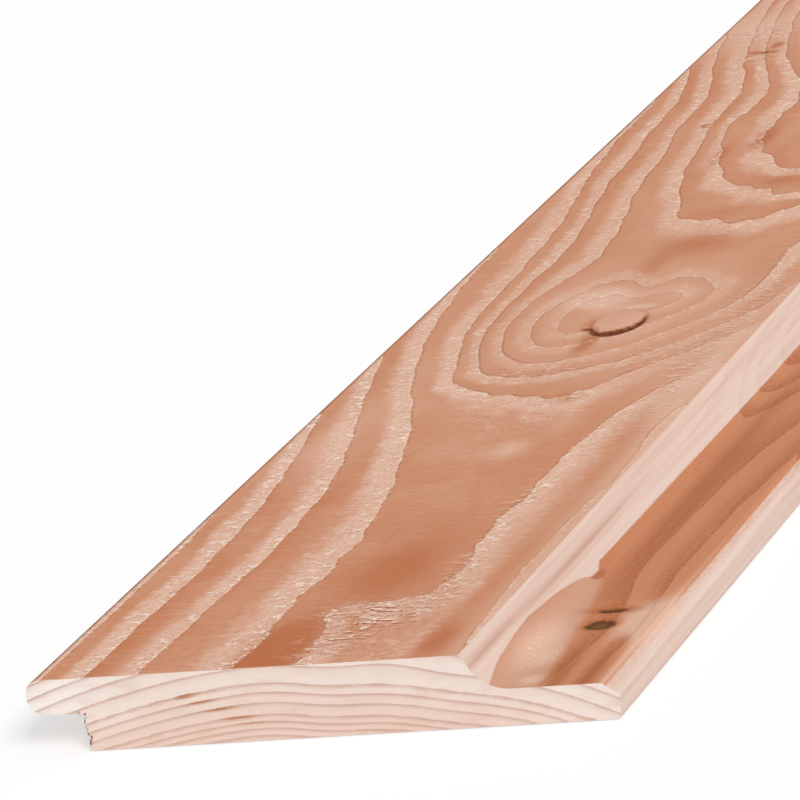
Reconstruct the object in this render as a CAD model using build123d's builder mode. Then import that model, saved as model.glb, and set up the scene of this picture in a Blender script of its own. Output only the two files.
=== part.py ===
"""Half-lap weatherboard: one length of softwood moulding, sawn and run through a moulder as a single piece.

The board lies on its back with its weathered face up. X runs across it, from the rounded nose on the
left to the ledge on the right, Y runs along it and Z runs up from the back. On a wall each board's
nose covers the ledge of the board beside it, and the cove between face and ledge shows as a channel.
"""

import os
from math import acos, degrees

from build123d import *

# Driving dimensions, in millimetres
board_length = 1800.0
board_width = 145.0  # overall, from the nose's tip to the ledge's edge
board_thickness = 18.0

lap_width = 15.0  # width of the rebate under the nose, measured on the back
ledge_thickness = 9.0  # half the board, left under the neighbour's nose
lap_clearance = 0.3  # play between the nose's underside and the ledge it covers
shoulder_lean = 1.5  # how far the rebate's shoulder leans away from the nose's root
rebate_corner_radius = 0.8  # left by the cutter in the corner under the nose

nose_top_radius = 3.0  # eased edge between the face and the nose's tip
nose_under_radius = 5.0  # larger round that sheds water under the tip

ledge_width = 26.5  # flat of the ledge and its chamfer, from the cove's foot to the edge
ledge_chamfer_width = 4.5  # lead-in that lets the neighbour's nose slide over
ledge_chamfer_depth = 3.0
cove_radius = 12.0  # hollow between the face and the ledge
crest_radius = 3.0  # eased edge where the cove meets the face

back_arris = 0.8  # slight easing of the back's two long edges

# Places on the section that follow from those sizes
left_edge = -board_width / 2
right_edge = board_width / 2
shoulder_foot = left_edge + lap_width
shoulder_head = shoulder_foot - shoulder_lean
nose_underside = ledge_thickness + lap_clearance
cove_foot = right_edge - ledge_width
cove_depth = board_thickness - ledge_thickness
cove_angle = degrees(acos(1 - cove_depth / cove_radius))


with BuildPart() as weatherboard:
    # The moulded section, seen along the board from its near end
    with BuildSketch(Plane.XZ) as section:
        with BuildLine() as outline:
            back = Line((shoulder_foot, 0), (right_edge, 0))
            edge = Line(back @ 1, (right_edge, ledge_thickness - ledge_chamfer_depth))
            lead_in = Line(edge @ 1, (right_edge - ledge_chamfer_width, ledge_thickness))
            ledge = Line(lead_in @ 1, (cove_foot, ledge_thickness))
            cove = JernArc(ledge @ 1, ledge % 1, cove_radius, -cove_angle)
            face = Line(cove @ 1, (left_edge, board_thickness))
            tip = Line(face @ 1, (left_edge, nose_underside))
            underside = Line(tip @ 1, (shoulder_head, nose_underside))
            shoulder = Line(underside @ 1, back @ 0)
        make_face()
        for corner, radius in (
            (face @ 0, crest_radius),
            (tip @ 0, nose_top_radius),
            (tip @ 1, nose_under_radius),
            (shoulder @ 0, rebate_corner_radius),
            (back @ 0, back_arris),
            (back @ 1, back_arris),
        ):
            fillet(section.vertices().sort_by_distance(corner)[0], radius)
    # The board itself, cut square at both ends
    extrude(amount=board_length / 2, both=True)

weatherboard.part.label = "weatherboard"
os.makedirs("parts", exist_ok=True)
export_step(weatherboard.part, "parts/weatherboard.step")
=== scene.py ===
"""Half-lap weatherboard: one moulded softwood board lying on a pale studio floor."""

from math import asin, atan, cos, degrees, hypot, radians, sin, sqrt

import bpy
import numpy as np
from mathutils import Matrix, Vector, noise
from mathutils.geometry import delaunay_2d_cdt


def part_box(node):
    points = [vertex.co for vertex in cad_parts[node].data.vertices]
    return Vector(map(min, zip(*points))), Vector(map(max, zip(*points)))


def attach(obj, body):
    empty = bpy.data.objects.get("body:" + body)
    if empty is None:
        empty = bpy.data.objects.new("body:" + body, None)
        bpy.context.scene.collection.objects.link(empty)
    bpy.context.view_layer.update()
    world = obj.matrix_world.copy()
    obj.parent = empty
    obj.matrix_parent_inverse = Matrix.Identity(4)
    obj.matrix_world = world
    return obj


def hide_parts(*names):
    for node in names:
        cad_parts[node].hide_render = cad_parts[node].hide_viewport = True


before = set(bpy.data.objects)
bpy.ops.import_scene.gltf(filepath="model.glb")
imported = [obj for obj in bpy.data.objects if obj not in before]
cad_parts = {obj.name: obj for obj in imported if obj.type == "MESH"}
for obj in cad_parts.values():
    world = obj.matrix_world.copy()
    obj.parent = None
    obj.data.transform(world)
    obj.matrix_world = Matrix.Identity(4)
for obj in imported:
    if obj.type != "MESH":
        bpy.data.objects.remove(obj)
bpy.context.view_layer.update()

# The weatherboard
# One length of Douglas fir. The face is fine-sawn and left fuzzy; the nose, the cove, the ledge and the
# back are cut by the moulder in the same pass, and both ends are cross-cut square.

mm = 0.001
low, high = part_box("weatherboard")
board_width, board_length, board_thickness = ((b - a) / mm for a, b in zip(low, high))

# The section in millimetres: u runs across from the nose's tip, y along from the near end and v up from
# the back
lap_width, shoulder_lean, nose_underside = 15.0, 1.5, 9.3
nose_top_radius, nose_under_radius = 3.0, 5.0
cove_radius, crest_radius = 12.0, 3.0
ledge_thickness, ledge_width = 9.0, 26.5
chamfer_width, chamfer_depth = 4.5, 3.0
arris = 0.8

cove_u, cove_v = board_width - ledge_width, ledge_thickness + cove_radius
crest_v = board_thickness - crest_radius
crest_u = cove_u - sqrt((cove_radius + crest_radius) ** 2 - (cove_v - crest_v) ** 2)
crest_turn = degrees(asin((cove_v - crest_v) / (cove_radius + crest_radius)))
chamfer_u = board_width - chamfer_width

outline = [(0.0, board_thickness - nose_top_radius, "nose")]  # clockwise as seen from the near end


def straight_cut(u, v, cut, step):
    """Carry the outline straight on to a point."""
    u0, v0, _ = outline[-1]
    count = max(1, round(hypot(u - u0, v - v0) / step))
    for i in range(1, count + 1):
        outline.append((u0 + (u - u0) * i / count, v0 + (v - v0) * i / count, cut))


def round_cut(centre_u, centre_v, radius, start, end, cut, step):
    """Carry the outline on round a centre, between two angles in degrees."""
    count = max(2, round(abs(radians(end - start)) * radius / step))
    for i in range(1, count + 1):
        a = radians(start + (end - start) * i / count)
        outline.append((centre_u + radius * cos(a), centre_v + radius * sin(a), cut))


# The shoulder's foot is eased and its head is left round by the cutter: how far each reaches along the flat
# and over the shoulder's height, and how far the shoulder leans there
foot_flat, foot_height, foot_lean = 0.7, 0.7, 0.1
head_flat, head_height, head_lean = 0.7, 0.8, 0.12

# The last number of each cut is the spacing of its points: finer over the main knot, in rounds and on the
# shoulder, which is torn
fine_from, fine_to = 52.0, 73.0
round_cut(nose_top_radius, board_thickness - nose_top_radius, nose_top_radius, 180, 135, "nose", 0.8)
round_cut(nose_top_radius, board_thickness - nose_top_radius, nose_top_radius, 135, 90, "face", 0.6)
straight_cut(fine_from, board_thickness, "face", 1.4)
straight_cut(fine_to, board_thickness, "face", 0.95)
straight_cut(crest_u, board_thickness, "face", 1.4)
round_cut(crest_u, crest_v, crest_radius, 90, 70, "face", 0.6)
round_cut(crest_u, crest_v, crest_radius, 70, crest_turn, "cove", 0.7)
round_cut(cove_u, cove_v, cove_radius, 180 + crest_turn, 270, "cove", 0.9)
straight_cut(chamfer_u, ledge_thickness, "cove", 1.4)
straight_cut(board_width, ledge_thickness - chamfer_depth, "edge", 1.4)
straight_cut(board_width, arris, "edge", 1.3)
round_cut(board_width - arris, arris, arris, 0, -90, "edge", 0.5)
straight_cut(lap_width + foot_flat, 0.0, "back", 7.5)
straight_cut(lap_width - foot_lean, foot_height, "shoulder", 0.5)
straight_cut(lap_width - shoulder_lean + head_lean, nose_underside - head_height, "shoulder", 0.5)
straight_cut(lap_width - shoulder_lean - head_flat, nose_underside, "shoulder", 0.5)
straight_cut(nose_under_radius, nose_underside, "nose", 1.6)
round_cut(nose_under_radius, nose_underside + nose_under_radius, nose_under_radius, -90, -180, "nose", 0.9)

section = np.array([(u, v) for u, v, _ in outline])
cuts = np.array([cut for _, _, cut in outline])
ahead, behind = np.roll(section, -1, 0) - section, section - np.roll(section, 1, 0)
ahead /= np.linalg.norm(ahead, axis=1)[:, None]
behind /= np.linalg.norm(behind, axis=1)[:, None]
outward = np.stack([-(ahead + behind)[:, 1], (ahead + behind)[:, 0]], axis=1)
outward /= np.linalg.norm(outward, axis=1)[:, None]

# Growth of the tree: the width of each year's ring, bark side first, how deep the first one starts at the
# near end, and where the pith lies below the face
years = (
    3.6, 3.5, 3.4, 3.8, 4.4, 2.1, 2.5, 3.0, 1.6, 1.7, 1.7,
    1.8, 1.9, 2.1, 2.0, 2.1, 2.3, 2.1, 1.8, 1.9, 2.2,
)
first_year = -15.1
year_ends = np.cumsum((first_year,) + years)
pith_u, pith_depth = 67.0, 175.0

# The stem bends and tapers, so the face runs deeper and shallower into it: place along, and deeper by
stem = (
    (0, 0), (50, -0.2), (75, 0.4), (100, 2), (120, 4), (142, 6.5), (162, 9), (185, 10.5), (214, 11.3),
    (235, 12.9), (246, 14.2), (260, 14.7), (276, 15.5), (290, 15.2), (300, 15.7), (311, 17), (320, 18.3),
    (350, 21), (420, 24), (520, 25.5), (640, 23), (760, 17), (880, 12.5), (1000, 11), (1120, 13.5),
    (1250, 19), (1380, 23.5), (1500, 24.5), (1620, 21), (1720, 17), (1800, 15),
)
along = np.arange(0.0, board_length + 1)
ease, ease_width = 20, 7.0  # each bend is eased over this many millimetres
bell = np.exp(-((np.arange(-ease, ease + 1) / ease_width) ** 2))
bends = np.pad(np.interp(along, *zip(*stem)), ease, mode="edge")
deeper = np.convolve(bends, bell / bell.sum(), mode="valid")

# Knots on the face: place across and along, half width, half length
knots = (
    (62.5, 157.5, 6.9, 6.3), (29.3, 274.3, 1.6, 1.6), (21.4, 319.5, 3.4, 1.5), (88.0, 612.0, 6.0, 7.0),
    (36.0, 868.0, 4.2, 4.8), (73.0, 1106.0, 8.0, 9.0), (50.0, 1396.0, 5.0, 6.0), (26.0, 1642.0, 3.4, 4.0),
)
main_knot, later_knots = knots[0], knots[3:]

# Where the rings swell round branches and dip between them: place, reach across and along, height
swellings = [
    (47, 156, 22, 25, 6.0), (75, 168, 16, 14, 2.5), (66, 193, 24, 12, -2.0), (102, 112, 24, 26, -3.5),
    (62, 126, 16, 14, -1.2), (61, 181, 5, 9, -1.5), (70, 119, 10, 7, 0.7), (74, 13, 11, 9, -1.5),
    (74, -4, 11, 9, -1.5), (85, 38, 8, 11, 0.4), (85, 82, 8, 12, -0.3), (105, 45, 10, 45, -1.0),
    (25, 75, 10, 50, -0.7), (50, 40, 8, 22, 0.2), (22, 255, 12, 16, -1.2), (14, 280, 9, 18, -0.9),
    (50, 217, 7, 7, 0.5), (80, 228, 14, 9, 0.5), (127, 24, 12, 16, 2.0), (32.5, 132, 7, 6, 0.9),
    (70, 150, 6, 6, 0.9), (55, 262, 8, 12, 0.5), (37, 262, 7, 12, 0.25), (46, 232, 7, 8, 0.4),
    (71, 248, 9, 8, 1.1), (78, 229, 8, 6, 0.3), (43, 159, 5, 6, -0.4), (37, 271, 4, 7, 0.3),
    (47, 246, 4.5, 5, -0.2), (66, 20.7, 5.5, 4, -1.0), (75, 24, 8, 3, -0.45), (61.5, 15, 4, 5, 0.3),
]

# Where resin and heartwood darken the surface, or torn fibres pale it, and where painted shade darkens the
# ledge: place, reach across and along, strength
stains_and_shade = [
    (57, 3, 7, 14, 1.6), (70, 40, 13, 18, 0.6), (97, 7, 5, 9, 0.8), (63, 200, 14, 8, 0.65),
    (56, 188, 4.5, 8, 0.5), (59.2, 147, 2.9, 6, 1.0), (54.5, 158, 2.2, 4, 0.6), (47.5, 163, 2.5, 3, 0.5),
    (41.5, 156, 2.5, 5, 0.35), (70, 118, 5, 3, 0.7), (62, 219, 13, 4, 0.4), (51, 264, 4, 9, 0.9),
    (42.5, 254, 2.5, 9, 0.75), (70, 236, 10, 5, 0.5), (28.5, 274.5, 1.6, 1.4, 2.3), (22, 323, 4, 0.9, 2.8),
    (24, 328, 1.5, 1.8, 2.3), (20, 319, 3.5, 1.2, -0.9), (12, 340, 14, 16, -0.7), (50, 171, 10, 6, -1.3),
    (67, 93, 6, 5, -0.75), (53, 95, 9, 14, -0.3), (75, 108, 5, 10, -0.4), (74, 172, 6, 4, -0.5),
    (13, 101, 8, 14, -0.4), (20, 120, 20, 55, -0.35), (65, 165.5, 5, 1.3, -0.9), (73, 10, 9, 8, 0.2),
    (104.6, 10, 1.6, 40, -0.5), (103, 105, 4.5, 45, -0.55), (101, 138, 5, 22, -0.35),
    (97, 114, 4, 14, -0.5), (108.3, 10, 0.6, 20, 0.45), (108.9, 55, 0.65, 36, 0.6),
    (112.6, 150, 1.5, 25, 0.27), (108.2, 12, 1.6, 40, 0.12), (87, 26, 6, 10, 0.35), (55, 25, 35, 50, 0.2),
    (115.4, 46.6, 0.9, 1.5, 2.4),
    (117, 18, 6, 11, -0.95), (121, 12, 3.5, 4, -0.5), (122, 3, 3.5, 2.5, -0.8), (128.2, 5, 2.2, 13, 1.0),
    (136.4, 2, 1.9, 13, 1.2), (132.6, 2, 0.9, 15, -0.4), (138, 26, 6, 8, -1.4), (140.6, 10, 1.2, 60, -0.6),
    # The last spot on the next line, a long streak along the ledge, is partly painted shade
    (139.8, 8, 1.2, 18, -0.25), (122, 90, 4, 60, 0.7),
]

# Where the saw pulled whole fibres out: place, reach across and along, share
pulled_places = [
    (70, 21.5, 10, 3.2, 1.0), (80, 19, 9, 5, 0.7), (70, 8, 7, 6, 0.9), (76, 15, 6, 4, 0.8),
    (88, 27, 5, 7, 0.5), (86, 40, 4, 8, 0.6), (85, 66, 4, 10, 0.6), (21, 319, 7, 3, 0.9),
    (16, 336, 12, 7, 0.7), (53, 132, 16, 3, 0.6), (84, 138, 10, 8, 0.5), (97, 128, 5, 24, 0.6),
    (97, 168, 7, 20, 0.45),
]

# Where the figure goes quiet, round knots and along the cove: place, reach across and along, share
quiet_places = [
    (62, 158, 36, 38, 1.0), (93, 136, 14, 26, 0.55), (30, 250, 70, 80, 0.45), (12, 342, 32, 26, 0.7),
    (74, 172, 9, 9, 0.3), (103.5, 40, 4, 80, 1.0), (105, 180, 3.5, 90, 0.6), (92, 55, 5, 45, 0.6),
]

# The later knots swell the rings, stain the wood at either end and quieten the figure, each by its size
for ku, ky, half_u, half_y in later_knots:
    swellings.append((ku, ky, 2.6 * half_u + 5, 3.4 * half_y + 5, 3 + half_u / 2))
    stains_and_shade.append((ku, ky + 4 * half_y, 0.6 * half_u, 2.6 * half_y, 0.7))
    stains_and_shade.append((ku, ky - 3 * half_y, 0.5 * half_u, 1.6 * half_y, 0.7))
    quiet_places.append((ku, ky, 4 * half_u, 5 * half_y, 0.7))


def soft_spots(spots, u, y):
    """The sum of soft round spots, each strongest at its own place."""
    return sum(h * np.exp(-(((u - su) / ru) ** 2) - ((y - sy) / ry) ** 2) for su, sy, ru, ry, h in spots)


def growth(u, y, v):
    """Years counted inwards from the bark, at points of the board."""
    depth = np.interp(y, along, deeper) - (u - pith_u) ** 2 / (2 * pith_depth) + board_thickness - v
    depth = depth + soft_spots(swellings, u, y)
    # The rings waver a little, though not at the near end, where they sag below the face's right side
    waver = 0.06 * np.sin(0.31 * u + 0.17 * y) + 0.05 * np.sin(0.43 * y - 0.11 * u)
    waver = waver + 0.05 * np.sin(0.7 * u + 1.3 * np.sin(0.23 * y)) + 0.03 * np.sin(1.1 * y + 0.4 * u)
    sag = 1.1 * np.exp(-(((u - 95) / 22) ** 2) - (y / 12) ** 2) * np.clip((board_thickness - v) / 4, 0, 1)
    depth = depth + waver * (1 - np.exp(-y / 15)) - sag
    span = year_ends[-1] - year_ends[0]
    turns = np.floor((depth - year_ends[0]) / span)
    return turns * len(years) + np.interp(depth - turns * span, year_ends, np.arange(len(year_ends)))


def years_per_mm(u, y, v, nu, ny, nv):
    """How fast the years go by over a surface that faces (nu, ny, nv)."""
    here, apart = growth(u, y, v), 0.05  # millimetres to the neighbours it is compared with
    neighbours = ((u + apart, y, v), (u, y + apart, v), (u, y, v + apart))
    du, dy, dv = ((growth(*at) - here) / apart for at in neighbours)
    off = du * nu + dy * ny + dv * nv
    return np.sqrt((du - off * nu) ** 2 + (dy - off * ny) ** 2 + (dv - off * nv) ** 2)


# Stations along the board, closer at the near end, in the part in view, at knots and at the ledge's tears
end_step, knot_step, view_step, far_step = 0.5, 0.85, 1.8, 7.5
end_growth, far_growth = 0.12, 0.05  # how much the steps grow with each millimetre
in_view, knot_margin, ledge_tears = 400.0, 4.0, (22.0, 33.0)
stations = [0.0]
while stations[-1] < board_length:
    reached = stations[-1]
    past_view = max(0.0, reached - in_view)
    step = min(end_step + end_growth * reached, view_step + far_growth * past_view, far_step)
    for _, ky, _, half in knots:
        if abs(reached - ky) < half + knot_margin:
            step = knot_step if ky < in_view else min(step, view_step)
    if ledge_tears[0] < reached < ledge_tears[1]:
        step = end_step
    stations.append(reached + step)
stations = np.array(stations) * board_length / stations[-1]

points, rows = len(section), len(stations)
u, v = np.tile(section[:, 0], rows), np.tile(section[:, 1], rows)
y = np.repeat(stations, points)
nu, nv = np.tile(outward[:, 0], rows), np.tile(outward[:, 1], rows)
cut = np.tile(cuts, rows)
on_face, on_top = cut == "face", (cut == "face") | (cut == "cove") | (cut == "edge")
ring = growth(u, y, v)
pace = years_per_mm(u, y, v, nu, np.zeros_like(nu), nv)
stain_and_shade = np.where(on_top, soft_spots(stains_and_shade, u, y), 0.0)
quiet, pulled = soft_spots(quiet_places, u, y), on_face * soft_spots(pulled_places, u, y)

# The rounded edge over the nose is dark, with a pale line beside it on the face
dark_edge, pale_edge, edge_reach = 0.9, 3.3, 10.0
at_nose = (v > board_thickness - nose_top_radius) & (u < edge_reach)
stain_and_shade += at_nose * (2.4 * np.exp(-((u - dark_edge) ** 2)) - 0.3 * np.exp(-((u - pale_edge) ** 2)))

# Distance to the edge of the nearest knot, in millimetres
far_off = 20.0  # for places that are near none
to_knot = np.full_like(u, far_off)
for ku, ky, half_u, half_y in knots:
    reach = np.hypot((u - ku) / half_u, (y - ky) / half_y)
    to_knot = np.where(on_face, np.minimum(to_knot, (reach - 1) * min(half_u, half_y)), to_knot)

# Distance to the edge of the crack round the main knot, which opens between two ovals, of the tear that it
# ends in, and of the dark knot and the slit on the ledge
ku, ky, half_u, half_y = main_knot
outer_u, outer_y, margin = 0.2, -0.4, 0.5  # the outer oval, off the knot's middle and past its edge
inner_u, inner_y = -0.55, 1.65
outer = np.hypot((u - ku - outer_u) / (half_u + margin), (y - ky - outer_y) / (half_y + margin))
outer = (outer - 1) * half_y
inner = (np.hypot((u - ku - inner_u) / half_u, (y - ky - inner_y) / half_y) - 1) * half_y
to_crack = np.where(on_face, np.maximum(outer, 0.1 - inner), far_off)
tears = (
    ("face", 55.5, 154.4, 1.3, 0.5),
    ("cove", 127.0, 25.2, 4.0, 2.0),
    ("cove", 127.0, 31.2, 4.2, 0.95),
)
for name, ku, ky, half_u, half_y in tears:
    spot = (np.hypot((u - ku) / half_u, (y - ky) / half_y) - 1) * half_y
    to_crack = np.where(cut == name, np.minimum(to_crack, spot), to_crack)

# The cove is pale down to a line above the ledge, partly from the cutter and partly painted light, and a
# lens of tan wood breaks into it at the near end: places along and across
pale_line = (
    (0, 113.3), (7, 111.3), (17, 110.2), (24, 109.9), (36, 110.9), (43.6, 112.6), (46.5, 115.3),
    (51, 113.0), (136, 114.2),
)
lens_right = ((0, 126.0), (10, 124.5), (18, 123.2), (28, 121.8), (38, 119.5), (44, 117.5), (46.5, 115.5))
lens_tip = lens_right[-1][0]
pale_foot = np.interp(y, *zip(*pale_line))
past_pale = u - pale_foot
# The other cuts are each of one shade, but the chamfer pales towards the board's edge
for name, share in (("nose", -0.08), ("shoulder", -0.3), ("edge", -0.35), ("back", 0.04)):
    past_pale = np.where(cut == name, share, past_pale)
on_chamfer = (cut == "edge") & (v > ledge_thickness - chamfer_depth)
past_pale = np.where(on_chamfer, 0.12 - 0.12 * (u - chamfer_u), past_pale)
to_right = (np.interp(y, *zip(*lens_right)) - u) / 4
in_lens = np.minimum(np.minimum(u - pale_foot, to_right), lens_tip - y)
in_lens = np.where(cut == "cove", in_lens, -far_off)

# Relief of the surface: torn earlywood and standing latewood on the sawn face, the open crack, and the
# wood broken out under the nose at the near end
fuzz_height, latewood_height, saw_depth = 0.08, 0.14, 0.12
knot_height, crack_depth = 0.2, 0.5
tear_reach, tear_depth = 2.6, 1.7
part_year = ring - np.floor(ring)
rough = [
    noise.noise((a * 0.55, b * 0.75, 0.0)) + 0.6 * noise.noise((a * 1.3, b * 1.7, 5.0))
    for a, b in zip(u, y)
]
sawn = fuzz_height * np.array(rough) * (0.3 + part_year) + latewood_height * (0.5 - part_year) - saw_depth
relief = on_face * sawn
relief += on_face * knot_height * np.clip(-to_knot / 5.0, 0, 1)
relief -= crack_depth * np.clip(0.6 - to_crack, 0, 1)
broken = np.exp(-((y / tear_reach) ** 2)) * (cut == "shoulder") * np.clip((v - 0.2) / 1.5, 0, 1)
ragged = [noise.noise((b * 0.5, c * 1.15, 3.0)) for b, c in zip(y, v)]
relief += broken * (tear_depth * np.array(ragged) - 0.3)
verts = np.stack([u + nu * relief - board_width / 2, y - board_length / 2, v + nv * relief], axis=1) * mm

# Walls of the board: one quad between each pair of stations and of section points. The finishes are
# numbered in the order in which they are made below.
sawn_face, planed_cuts, end_grain = 0, 1, 2
i, j = np.meshgrid(np.arange(points), np.arange(rows - 1))
i, j = i.ravel(), j.ravel()
k = (i + 1) % points
walls = np.stack([j * points + i, j * points + k, (j + 1) * points + k, (j + 1) * points + i], axis=1)
faces = walls.tolist()
finishes = [sawn_face if name == "face" else planed_cuts for name in cuts[k]]

# Flat map of the walls, for baking: three lengths side by side, the hidden back and rebate at half width
lengths, map_height, gap = 3, 0.925, 4.0  # the gap between lengths is in millimetres
hidden = np.isin(np.roll(cuts, -1), ("back", "shoulder"))
widths = np.linalg.norm(np.roll(section, -1, 0) - section, axis=1) * np.where(hidden, 0.5, 1.0)
run = np.cumsum(np.append(0.0, widths))
stretch = board_length / lengths
length = np.minimum((stations[:-1] + stations[1:])[j] / 2 // stretch, lengths - 1)[:, None]
map_x = np.stack([run[i], run[i + 1], run[i + 1], run[i]], axis=1) + gap / 2
map_x = (map_x + length * (run[-1] + gap)) / (lengths * (run[-1] + gap))
map_y = np.stack([stations[j], stations[j], stations[j + 1], stations[j + 1]], axis=1) - length * stretch
map_y = (map_y + gap) / (stretch + 2 * gap) * map_height
flat_map = [np.stack([map_x.ravel(), map_y.ravel()], axis=1)]

# Each cross-cut end is filled with small triangles, so that the rings can be followed over it
across_step, up_step = 1.5, 1.3
right = int(np.argmax(section[:, 0]))
top, bottom = section[: right + 1], np.concatenate([section[right:], section[:1]])[::-1]
inside = []
for a in np.arange(1.0, board_width - 0.5, across_step):
    floor_v, top_v = np.interp(a, bottom[:, 0], bottom[:, 1]), np.interp(a, top[:, 0], top[:, 1])
    count = max(1, round((top_v - floor_v) / up_step))
    inside += [(a, floor_v + (top_v - floor_v) * n / count) for n in range(1, count)]
inside = np.array(inside)
ends = np.concatenate([section, inside])
rim = [(n, (n + 1) % points) for n in range(points)]
_, _, tiles, origins, _, _ = delaunay_2d_cdt([Vector(p) for p in ends], rim, [], 1, 1e-5)
tiles = [[origins[n][0] for n in tile] for tile in tiles]
corner_pace = [pace[walls].ravel()]
end_scale, end_row = 0.48, 0.933  # of the flat map
for at, first, column, flip in ((0.0, 0, 0.01, False), (board_length, (rows - 1) * points, 0.51, True)):
    base, level = len(verts), np.full(len(inside), at)
    spots = np.stack([inside[:, 0] - board_width / 2, level - board_length / 2, inside[:, 1]], axis=1)
    verts = np.concatenate([verts, spots * mm])
    ring = np.concatenate([ring, growth(inside[:, 0], level, inside[:, 1])])
    here = years_per_mm(ends[:, 0], np.full(len(ends), at), ends[:, 1], 0.0, 1.0, 0.0)
    for tile in tiles:
        tile = tile[::-1] if flip else tile
        faces.append([first + n if n < points else base + n - points for n in tile])
        finishes.append(end_grain)
        corner_pace.append(here[tile])
        flat_map.append(ends[tile] / board_width * end_scale + (column, end_row))


def filled(values, plain):
    """A surface value carried on over the cross-cut ends, where it is plain."""
    return np.append(values, np.full(len(verts) - len(values), plain))


# A streak of resin crosses the rings of the near end on a slant
streak_u, streak_depth, streak_slant, streak_width = 38.5, 5.8, 2.1, 4.5
streak_top, streak_bottom, streak_fade = 4.2, 14.2, 1.2
end_u, end_depth = verts[:, 0] / mm + board_width / 2, board_thickness - verts[:, 2] / mm
aside = end_u - streak_u - streak_slant * (end_depth - streak_depth)
resin = np.exp(-((aside / streak_width) ** 2)) * np.clip((end_depth - streak_top) / streak_fade, 0, 1)
resin *= np.clip(streak_bottom - end_depth, 0, 1) * (verts[:, 1] < low[1] + 0.5 * mm)

mesh = bpy.data.meshes.new("weatherboard_timber")
mesh.from_pydata(verts.tolist(), [], faces)
mesh.polygons.foreach_set("material_index", finishes)
mesh.shade_smooth()
mesh.set_sharp_from_angle(angle=radians(30))
soft_edge = 3.0  # millimetres either way of a line that a colour ends at
for name, domain, values in (
    ("ring", "POINT", ring),
    ("pace", "CORNER", np.concatenate(corner_pace)),
    ("knot", "POINT", filled(to_knot, far_off)),
    ("crack", "POINT", filled(to_crack, far_off)),
    ("stain_and_shade", "POINT", filled(stain_and_shade, 0.0)),
    ("quiet", "POINT", filled(quiet, 0.0)),
    ("pulled", "POINT", filled(pulled, 0.0)),
    ("past_pale", "POINT", filled(np.clip(past_pale, -soft_edge, soft_edge), 0.0)),
    ("in_lens", "POINT", filled(np.clip(in_lens, -soft_edge, soft_edge), -soft_edge)),
    ("broken", "POINT", filled(broken, 0.0)),
    ("resin", "POINT", resin),
):
    kept = mesh.attributes.new(name, "FLOAT", domain)
    kept.data.foreach_set("value", np.asarray(values, dtype=np.float32))
flat_layer = mesh.uv_layers.new(name="OFBake")
flat_layer.data.foreach_set("uv", np.concatenate(flat_map).astype(np.float32).ravel())

weatherboard = bpy.data.objects.new("weatherboard_timber", mesh)
bpy.context.collection.objects.link(weatherboard)


def node(tree, kind, sockets=None, **settings):
    """A node with its settings, and with a value or a link at each named socket."""
    new = tree.nodes.new(kind)
    for name, value in settings.items():
        setattr(new, name, value)
    for name, value in (sockets or {}).items():
        if isinstance(value, bpy.types.NodeSocket):
            tree.links.new(value, new.inputs[name])
        else:
            new.inputs[name].default_value = value
    return new


def maths(tree, operation, *values):
    """One step of arithmetic on values or links."""
    return node(tree, "ShaderNodeMath", dict(enumerate(values)), operation=operation).outputs[0]


def rise(tree, value, start, end, least=0.0, most=1.0):
    """A smooth step from least to most as the value goes from start to end."""
    sockets = {"Value": value, "From Min": start, "From Max": end, "To Min": least, "To Max": most}
    return node(tree, "ShaderNodeMapRange", sockets, interpolation_type="SMOOTHSTEP").outputs[0]


def tint(tree, amount, base, other):
    """One colour with an amount of another mixed in."""
    return node(tree, "ShaderNodeMix", {0: amount, 6: base, 7: other}, data_type="RGBA").outputs[2]


def spread(tree, at, grains, detail=2.0, rough=0.5):
    """Noise from 0 to 1 over the board, with so many grains to the millimetre each way."""
    at = node(tree, "ShaderNodeVectorMath", {0: at, 1: grains}, operation="MULTIPLY").outputs[0]
    sockets = {"Vector": at, "Scale": 1.0, "Detail": detail, "Roughness": rough}
    return node(tree, "ShaderNodeTexNoise", sockets).outputs[0]


def millimetres(tree):
    """Places on the board, in millimetres."""
    at = node(tree, "ShaderNodeTexCoord").outputs["Object"]
    return node(tree, "ShaderNodeVectorMath", {0: at, "Scale": 1 / mm}, operation="SCALE").outputs[0]


def stored(tree, name):
    """A value kept on the mesh."""
    return node(tree, "ShaderNodeAttribute", attribute_name=name).outputs["Fac"]


def shade(red, green, blue):
    """A colour as it is read off a screen, from 0 to 255."""
    screen = (c / 255 for c in (red, green, blue))
    return tuple(c / 12.92 if c < 0.0404 else ((c + 0.055) / 1.055) ** 2.4 for c in screen) + (1.0,)


# Growth rings, shared by every cut of the board: the part of the year gone by, counted inwards, how far
# the year's line lies behind and the next one ahead in millimetres, and a number of the year's own
rings = bpy.data.node_groups.new("growth rings", "ShaderNodeTree")
rings.interface.new_socket("Ragged", in_out="INPUT", socket_type="NodeSocketFloat")
for name in ("Part", "Past", "Left", "Year"):
    rings.interface.new_socket(name, in_out="OUTPUT", socket_type="NodeSocketFloat")
given, result = rings.nodes.new("NodeGroupInput"), rings.nodes.new("NodeGroupOutput")
ring_pace = stored(rings, "pace")
wander = maths(rings, "SUBTRACT", spread(rings, millimetres(rings), (1.0, 0.5, 1.0), 3.0, 0.65), 0.5)
wander = maths(rings, "MULTIPLY", wander, maths(rings, "MULTIPLY_ADD", stored(rings, "pulled"), 2.0, 1.0))
wander = maths(rings, "MULTIPLY", wander, rise(rings, stored(rings, "quiet"), 0.15, 0.6, 1.0, 0.45))
wander = maths(rings, "MULTIPLY", wander, given.outputs["Ragged"])
years_in = maths(rings, "MULTIPLY_ADD", wander, ring_pace, stored(rings, "ring"))
part = maths(rings, "FRACT", years_in)
past = maths(rings, "DIVIDE", part, ring_pace)
left = maths(rings, "DIVIDE", maths(rings, "SUBTRACT", 1.0, part), ring_pace)
year = node(rings, "ShaderNodeTexWhiteNoise", {"W": maths(rings, "FLOOR", years_in)}, noise_dimensions="1D")
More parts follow.
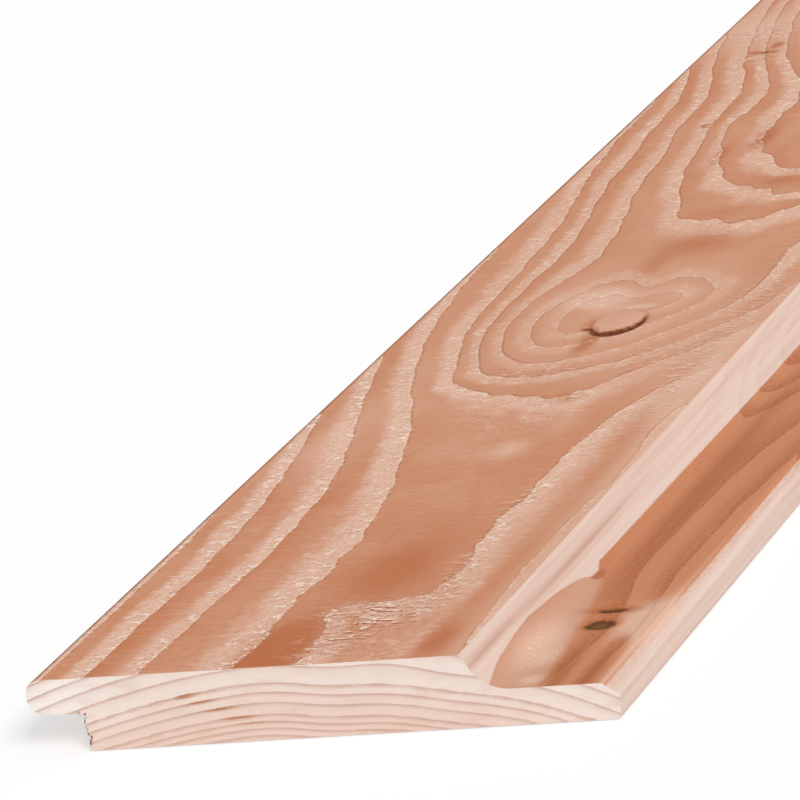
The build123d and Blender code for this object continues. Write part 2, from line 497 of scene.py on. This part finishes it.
for name, value in (("Part", part), ("Past", past), ("Left", left), ("Year", year.outputs["Value"])):
    rings.links.new(value, result.inputs[name])


def timber(name, ragged, roughness, sheen):
    """A material with the growth rings in it, and its shader."""
    made = bpy.data.materials.new(name)
    made.use_nodes = True
    tree = made.node_tree
    figure = node(tree, "ShaderNodeGroup", {"Ragged": ragged}, node_tree=rings)
    shader = tree.nodes["Principled BSDF"]
    shader.inputs["Roughness"].default_value = roughness
    shader.inputs["Specular IOR Level"].default_value = sheen
    mesh.materials.append(made)
    return tree, shader, figure.outputs, millimetres(tree)


# The sawn face: each year's dark wood wears off inwards into pale torn fibres, up to the next line
tree, shader, figure, at = timber("sawn_face", 0.75, 0.9, 0.1)
knot, crack, stain_and_shade = (stored(tree, name) for name in ("knot", "crack", "stain_and_shade"))
quiet, pulled = stored(tree, "quiet"), stored(tree, "pulled")
fibre_grain, fleck_grain, shadow_shift = (0.26, 1.0, 11.0), (0.60, 0.95, 3.0), (0.35, -0.55, 0.0)
saw_marks = spread(tree, at, (0.08, 1.1, 0.0), 3.0, 0.6)
drag = spread(tree, at, (0.16, 0.85, 7.0), 3.0, 0.6)
fibres = spread(tree, at, fibre_grain, 2.0, 0.6)
long_grain = spread(tree, at, (1.3, 0.04, 0.0), 3.0, 0.6)
cloud = spread(tree, at, (0.06, 0.045, 0.0), 2.0)
mottle = spread(tree, at, (0.45, 0.80, 2.0), 3.0, 0.6)
fuzz = spread(tree, at, (1.0, 1.3, 9.0), 2.0, 0.6)
flecks = spread(tree, at, fleck_grain, 2.0, 0.6)
# The flecks and fibres shifted a little, for their painted shadows
below = node(tree, "ShaderNodeVectorMath", {0: at, 1: shadow_shift}, operation="SUBTRACT").outputs[0]
shadows = spread(tree, below, fleck_grain, 2.0, 0.6)
fibre_shadows = spread(tree, below, fibre_grain, 2.0, 0.6)
tufts = maths(tree, "MULTIPLY_ADD", spread(tree, at, (0.22, 0.45, 5.0), 2.0), 0.6, -0.3)
tufts = maths(tree, "ADD", tufts, rise(tree, figure["Left"], 0.0, 4.0, 0.025, 0.0))
year_width = maths(tree, "ADD", figure["Past"], figure["Left"])
worn = maths(tree, "ADD", figure["Part"], rise(tree, year_width, 7.0, 16.0, 0.12, 0.0))
worn = maths(tree, "MULTIPLY_ADD", cloud, -0.5, maths(tree, "MULTIPLY_ADD", drag, -0.45, worn))
early = rise(tree, worn, -0.04, 0.34)
pale = maths(tree, "MULTIPLY", early, rise(tree, figure["Left"], 3.0, 15.0, 1.0, 0.15))
frayed = maths(tree, "MULTIPLY", early, rise(tree, figure["Left"], 1.0, 9.0, 1.0, 0.3))
frayed = maths(tree, "MAXIMUM", frayed, rise(tree, figure["Past"], 0.1, 0.9, 0.45, 0.0))
frayed = maths(tree, "MULTIPLY", frayed, rise(tree, quiet, 0.1, 0.65, 1.0, 0.3))
streaky = maths(tree, "MULTIPLY", rise(tree, stain_and_shade, -0.4, -1.0), rise(tree, drag, 0.40, 0.56))
frayed = maths(tree, "MAXIMUM", frayed, streaky)
colour = tint(tree, pale, shade(202, 141, 108), shade(225, 185, 163))
deep = maths(tree, "MULTIPLY", rise(tree, figure["Past"], 0.0, 9.0, 0.75, 0.0), figure["Year"])
colour = tint(tree, deep, colour, shade(189, 115, 75))
colour = tint(tree, rise(tree, cloud, 0.42, 0.62, 0.0, 0.3), colour, shade(216, 167, 141))
dull = rise(tree, mottle, 0.40, 0.70, 0.0, 0.5)
dull = maths(tree, "MULTIPLY", dull, rise(tree, pale, 0.0, 1.0, 1.0, 0.6))
colour = tint(tree, dull, colour, shade(197, 134, 101))
colour = tint(tree, rise(tree, long_grain, 0.42, 0.75, 0.0, 0.2), colour, shade(190, 122, 87))
colour = tint(tree, rise(tree, saw_marks, 0.48, 0.75, 0.0, 0.3), colour, shade(222, 178, 153))
colour = tint(tree, rise(tree, quiet, 0.0, 1.0, 0.0, 0.78), colour, shade(209, 158, 130))
colour = tint(tree, rise(tree, stain_and_shade, 0.0, 1.0, 0.0, 0.75), colour, shade(179, 100, 57))
colour = tint(tree, rise(tree, stain_and_shade, 0.0, -1.0, 0.0, 0.65), colour, shade(228, 190, 168))
broken_up = rise(tree, mottle, 0.38, 0.58)
unbroken = maths(tree, "MAXIMUM", broken_up, rise(tree, quiet, 0.2, 0.45, 0.0, 0.85))
# A thin dark line just past each year's line: partly the ring's own edge, partly painted shade of the step
line = maths(tree, "MULTIPLY", rise(tree, figure["Past"], 0.0, 1.0, 0.6, 0.0), unbroken)
line = maths(tree, "MULTIPLY", line, rise(tree, quiet, 0.65, 1.0, 1.0, 0.3))
colour = tint(tree, line, colour, shade(160, 94, 60))
# A thin painted highlight just before each year's line, where the step's edge catches the light
lip_highlight = rise(tree, figure["Left"], 0.0, 1.0, 0.4, 0.0)
lip_highlight = maths(tree, "MULTIPLY", lip_highlight, rise(tree, flecks, 0.42, 0.60))
colour = tint(tree, lip_highlight, colour, shade(242, 213, 195))
hairs = maths(tree, "MULTIPLY", rise(tree, fuzz, 0.50, 0.66, 0.0, 0.5), frayed)
colour = tint(tree, hairs, colour, shade(238, 207, 188))
# Painted shadow beside each fleck and pulled fibre, partly the dark pits that torn fibres leave
pit_shadow = maths(tree, "MULTIPLY", rise(tree, maths(tree, "ADD", shadows, tufts), 0.58, 0.66), frayed)
pit_shadow = maths(tree, "MAXIMUM", pit_shadow, maths(tree, "MULTIPLY", rise(tree, fibre_shadows, 0.54, 0.60), pulled))
pit_shadow = maths(tree, "MULTIPLY", pit_shadow, rise(tree, pulled, 0.0, 1.0, 0.35, 0.9))
colour = tint(tree, pit_shadow, colour, shade(148, 84, 50))
fleck = maths(tree, "MULTIPLY", rise(tree, maths(tree, "ADD", flecks, tufts), 0.57, 0.64), frayed)
fleck = maths(tree, "MAXIMUM", fleck, maths(tree, "MULTIPLY", rise(tree, fibres, 0.55, 0.61), pulled))
colour = tint(tree, maths(tree, "MULTIPLY", fleck, 0.75), colour, shade(249, 223, 204))
colour = tint(tree, rise(tree, stain_and_shade, 1.7, 2.2, 0.0, 0.85), colour, shade(112, 60, 34))
colour = tint(tree, rise(tree, knot, -1.0, 0.4, 0.7, 0.0), colour, shade(215, 166, 140))
rim_line = rise(tree, maths(tree, "ABSOLUTE", knot), 0.0, 0.6, 0.14, 0.0)
colour = tint(tree, maths(tree, "MULTIPLY", rim_line, broken_up), colour, shade(160, 98, 66))
torn_rim = maths(tree, "MULTIPLY_ADD", mottle, 1.6, maths(tree, "SUBTRACT", crack, 0.8))
colour = tint(tree, rise(tree, torn_rim, 0.0, 0.9, 0.6, 0.0), colour, shade(156, 86, 46))
hollow = rise(tree, torn_rim, -0.35, 0.3, 1.0, 0.0)
hollow = maths(tree, "MULTIPLY", hollow, rise(tree, fuzz, 0.35, 0.6, 0.96, 0.7))
colour = tint(tree, hollow, colour, shade(84, 24, 0))
tree.links.new(colour, shader.inputs["Base Color"])
drop = maths(tree, "MULTIPLY", rise(tree, figure["Left"], 0.0, 0.7), 0.3)
height = maths(tree, "MULTIPLY", maths(tree, "MULTIPLY", mottle, frayed), drop)
height = maths(tree, "MULTIPLY_ADD", saw_marks, 0.10, height)
height = maths(tree, "MULTIPLY_ADD", fleck, 0.18, height)
height = maths(tree, "MULTIPLY_ADD", long_grain, 0.06, height)
bump = node(tree, "ShaderNodeBump", {"Height": height, "Distance": 1.0 * mm, "Strength": 0.55})
tree.links.new(bump.outputs[0], shader.inputs["Normal"])

# The planed cuts: smooth and pale where the cutter crossed the fibres, with painted light in the pale;
# orange on the flat ledge, partly painted shade; and tan in the lens
tree, shader, figure, at = timber("planed_cuts", 0.5, 0.6, 0.12)
crack, stain_and_shade, broken = (stored(tree, name) for name in ("crack", "stain_and_shade", "broken"))
long_grain = spread(tree, at, (0.9, 0.02, 0.9), 3.0, 0.6)
crumbs = spread(tree, at, (0.8, 0.8, 0.8), 3.0, 0.65)
flecks = spread(tree, at, (0.75, 1.9, 3.0), 2.0, 0.55)
late = rise(tree, figure["Part"], 0.0, 0.75, 1.0, 0.0)
colour = tint(tree, maths(tree, "MULTIPLY", late, 0.16), shade(223, 199, 186), shade(208, 168, 146))
# The ledge's orange is partly the wood's own colour and partly painted shade
ledge = tint(tree, late, shade(196, 129, 92), shade(173, 102, 63))
ledge = tint(tree, rise(tree, flecks, 0.45, 0.70, 0.0, 0.4), ledge, shade(206, 147, 113))
# Pale above the line and orange below it: partly the cuts' own colours, partly painted light and shade
past_pale = rise(tree, maths(tree, "MULTIPLY_ADD", crumbs, 0.4, stored(tree, "past_pale")), -0.1, 0.5)
colour = tint(tree, past_pale, colour, ledge)
lens = rise(tree, maths(tree, "MULTIPLY_ADD", crumbs, 0.6, stored(tree, "in_lens")), 0.0, 0.7)
colour = tint(tree, lens, colour, tint(tree, late, shade(203, 154, 128), shade(196, 142, 113)))
# Darker where stained, and along the ledge's streak, where the darkening is partly painted shade
colour = tint(tree, rise(tree, stain_and_shade, 0.0, 1.0, 0.0, 0.8), colour, shade(164, 94, 54))
colour = tint(tree, rise(tree, stain_and_shade, 0.0, -1.0, 0.0, 0.75), colour, shade(226, 188, 166))
fleck = maths(tree, "MULTIPLY", rise(tree, flecks, 0.58, 0.68), rise(tree, stain_and_shade, -0.2, -0.8, 0.0, 0.5))
fleck = maths(tree, "MULTIPLY", fleck, rise(tree, stored(tree, "in_lens"), -1.4, -0.6))
colour = tint(tree, fleck, colour, shade(244, 218, 200))
streaks = rise(tree, long_grain, 0.42, 0.75, 0.0, 0.3)
streaks = maths(tree, "MULTIPLY", streaks, rise(tree, lens, 0.0, 1.0, 1.0, 0.3))
colour = tint(tree, streaks, colour, shade(196, 140, 112))
line = rise(tree, figure["Past"], 0.1, 0.8, 0.2, 0.0)
line = maths(tree, "MULTIPLY", line, rise(tree, past_pale, 0.0, 1.0, 0.15, 1.0))
colour = tint(tree, line, colour, shade(168, 104, 70))
# Painted shade on the splinters of the shoulder torn out at the near end
splinter_shade = maths(tree, "MULTIPLY", broken, rise(tree, crumbs, 0.45, 0.60))
colour = tint(tree, maths(tree, "MULTIPLY", splinter_shade, 0.9), colour, shade(96, 56, 34))
torn_rim = maths(tree, "MULTIPLY_ADD", crumbs, 1.2, maths(tree, "SUBTRACT", crack, 0.6))
colour = tint(tree, rise(tree, torn_rim, 0.1, 1.6, 0.5, 0.0), colour, shade(170, 98, 57))
colour = tint(tree, rise(tree, torn_rim, -0.5, 0.3, 0.92, 0.0), colour, shade(82, 44, 18))
colour = tint(tree, rise(tree, torn_rim, -1.3, -0.6, 0.8, 0.0), colour, shade(112, 74, 38))
tree.links.new(colour, shader.inputs["Base Color"])
bump = node(tree, "ShaderNodeBump", {"Height": long_grain, "Distance": 0.12 * mm, "Strength": 0.6})
tree.links.new(bump.outputs[0], shader.inputs["Normal"])

# The cross-cut ends: pale, palest in the nose, with each year a soft thin line, and tanner towards the pith
tree, shader, figure, at = timber("end_grain", 0.35, 0.9, 0.2)
pores = spread(tree, at, (2.2, 0.0, 2.2), 2.0, 0.6)
cloud = spread(tree, at, (0.09, 0.0, 0.3), 2.0)
crumbs = spread(tree, at, (0.8, 0.0, 0.8), 3.0, 0.65)
heart = rise(tree, stored(tree, "ring"), 3.5, 9.0)
from_middle = node(tree, "ShaderNodeSeparateXYZ", {0: at}).outputs["X"]
colour = tint(tree, rise(tree, from_middle, -45.0, -70.0), shade(241, 224, 214), shade(249, 238, 231))
colour = tint(tree, heart, colour, shade(233, 206, 191))
colour = tint(tree, rise(tree, figure["Part"], 0.0, 0.7, 0.35, 0.0), colour, shade(215, 182, 166))
line = rise(tree, figure["Past"], 0.1, 1.0, 1.0, 0.0)
line = maths(tree, "MULTIPLY", line, rise(tree, cloud, 0.35, 0.65, 0.5, 0.9))
colour = tint(tree, line, colour, shade(201, 162, 146))
colour = tint(tree, rise(tree, cloud, 0.45, 0.75, 0.0, 0.4), colour, shade(222, 190, 172))
colour = tint(tree, rise(tree, pores, 0.5, 0.75, 0.0, 0.25), colour, shade(218, 186, 170))
streak = maths(tree, "MULTIPLY", stored(tree, "resin"), rise(tree, figure["Past"], 0.2, 1.2, 0.95, 0.0))
colour = tint(tree, streak, colour, shade(178, 112, 66))
# Painted shade on the end grain along the torn shoulder's splinters
splinter_shade = maths(tree, "MULTIPLY", stored(tree, "broken"), rise(tree, crumbs, 0.42, 0.56))
colour = tint(tree, rise(tree, splinter_shade, 0.35, 0.8), colour, shade(110, 66, 44))
tree.links.new(colour, shader.inputs["Base Color"])
bump = node(tree, "ShaderNodeBump", {"Height": pores, "Distance": 0.15 * mm, "Strength": 0.6})
tree.links.new(bump.outputs[0], shader.inputs["Normal"])

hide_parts("weatherboard")
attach(weatherboard, "root")


# The studio
# A wide pale floor that keeps the board's shadow, a white surround and one large soft lamp. The floor lies
# a little below the board, so that the two never share a plane.

floor_reach, floor_drop, floor_glow = 40, 0.3 * mm, 0.55  # the glow is the share of its own white
floor_corners = [(a * floor_reach, b * floor_reach, 0) for a, b in ((-1, -1), (1, -1), (1, 1), (-1, 1))]
floor_mesh = bpy.data.meshes.new("floor")
floor_mesh.from_pydata(floor_corners, [], [(0, 1, 2, 3)])
floor = bpy.data.objects.new("floor", floor_mesh)
floor.location.z = -floor_drop
bpy.context.collection.objects.link(floor)
pale_floor = bpy.data.materials.new("pale_floor")
pale_floor.use_nodes = True
tree = pale_floor.node_tree
tree.nodes.clear()
plain = node(tree, "ShaderNodeBsdfDiffuse", {"Color": (0.9, 0.9, 0.9, 1)}).outputs[0]
white = node(tree, "ShaderNodeBsdfDiffuse", {"Color": (1, 1, 1, 1)}).outputs[0]
lift = node(tree, "ShaderNodeEmission", {"Color": (1, 1, 1, 1), "Strength": 1.0}).outputs[0]
lifted = node(tree, "ShaderNodeMixShader", {0: floor_glow, 1: white, 2: lift}).outputs[0]
seen = node(tree, "ShaderNodeLightPath").outputs["Is Camera Ray"]
both = node(tree, "ShaderNodeMixShader", {0: seen, 1: plain, 2: lifted}).outputs[0]
node(tree, "ShaderNodeOutputMaterial", {"Surface": both})
floor_mesh.materials.append(pale_floor)

fill_light = 0.47  # what the surround gives the board; it is seen as plain white
studio = bpy.data.worlds.new("studio")
bpy.context.scene.world = studio
studio.use_nodes = True
tree = studio.node_tree
path = node(tree, "ShaderNodeLightPath").outputs
shown = maths(tree, "MAXIMUM", path["Is Camera Ray"], path["Is Glossy Ray"])
shown = maths(tree, "MAXIMUM", shown, path["Is Transmission Ray"])
surround = tree.nodes["Background"].inputs
surround["Color"].default_value = (1, 1, 1, 1)
tree.links.new(maths(tree, "MULTIPLY_ADD", shown, 1 - fill_light, fill_light), surround["Strength"])

towards_lamp = Vector((0.5, -0.45, 0.74))
lamp = bpy.data.lights.new("key", "SUN")
lamp.energy = 2.2
lamp.angle = radians(25)
key = bpy.data.objects.new("key", lamp)
key.rotation_euler = towards_lamp.to_track_quat("Z", "Y").to_euler()
bpy.context.collection.objects.link(key)


# The camera
# The photograph is the lower left corner of a wide picture taken level along the board, so its lines
# to the far end meet far outside the frame. A skewed stand gives the camera those slanting axes.

photo_side, photo_scale = 800, 4.09  # pixels, and pixels to the millimetre at the near end
vanishing, nose_corner = Vector((2900, -2000)), Vector((25, 681))  # pixels, down from the top left
distance, roll = 1063.0, atan(0.0605)  # millimetres to the near end, and how far the picture leans
across, up = Vector((cos(roll), 0, -sin(roll))), Vector((sin(roll), 0, cos(roll)))
into = Vector((0, 1, 0))
corner = Vector((-board_width / 2, -board_length / 2, board_thickness))
offset = (vanishing - nose_corner) / photo_scale
eye = corner + across * offset.x - up * offset.y - into * distance
focal = photo_scale * distance
aim = (vanishing - Vector((photo_side, photo_side)) / 2) / focal
middle = into - across * aim.x + up * aim.y

view = bpy.data.cameras.new("view")
view.sensor_width = 36
view.lens = view.sensor_width * focal * middle.length / photo_side
view.clip_end = 200
camera = bpy.data.objects.new("view", view)
stand = bpy.data.objects.new("stand", None)
bpy.context.collection.objects.link(camera)
bpy.context.collection.objects.link(stand)
camera.parent = stand
slanting = Matrix((across, up, -middle.normalized())).transposed()
camera.matrix_parent_inverse = Matrix.Translation(eye * mm) @ slanting.to_4x4()
bpy.context.scene.camera = camera
bpy.context.scene.view_settings.view_transform = "Standard"
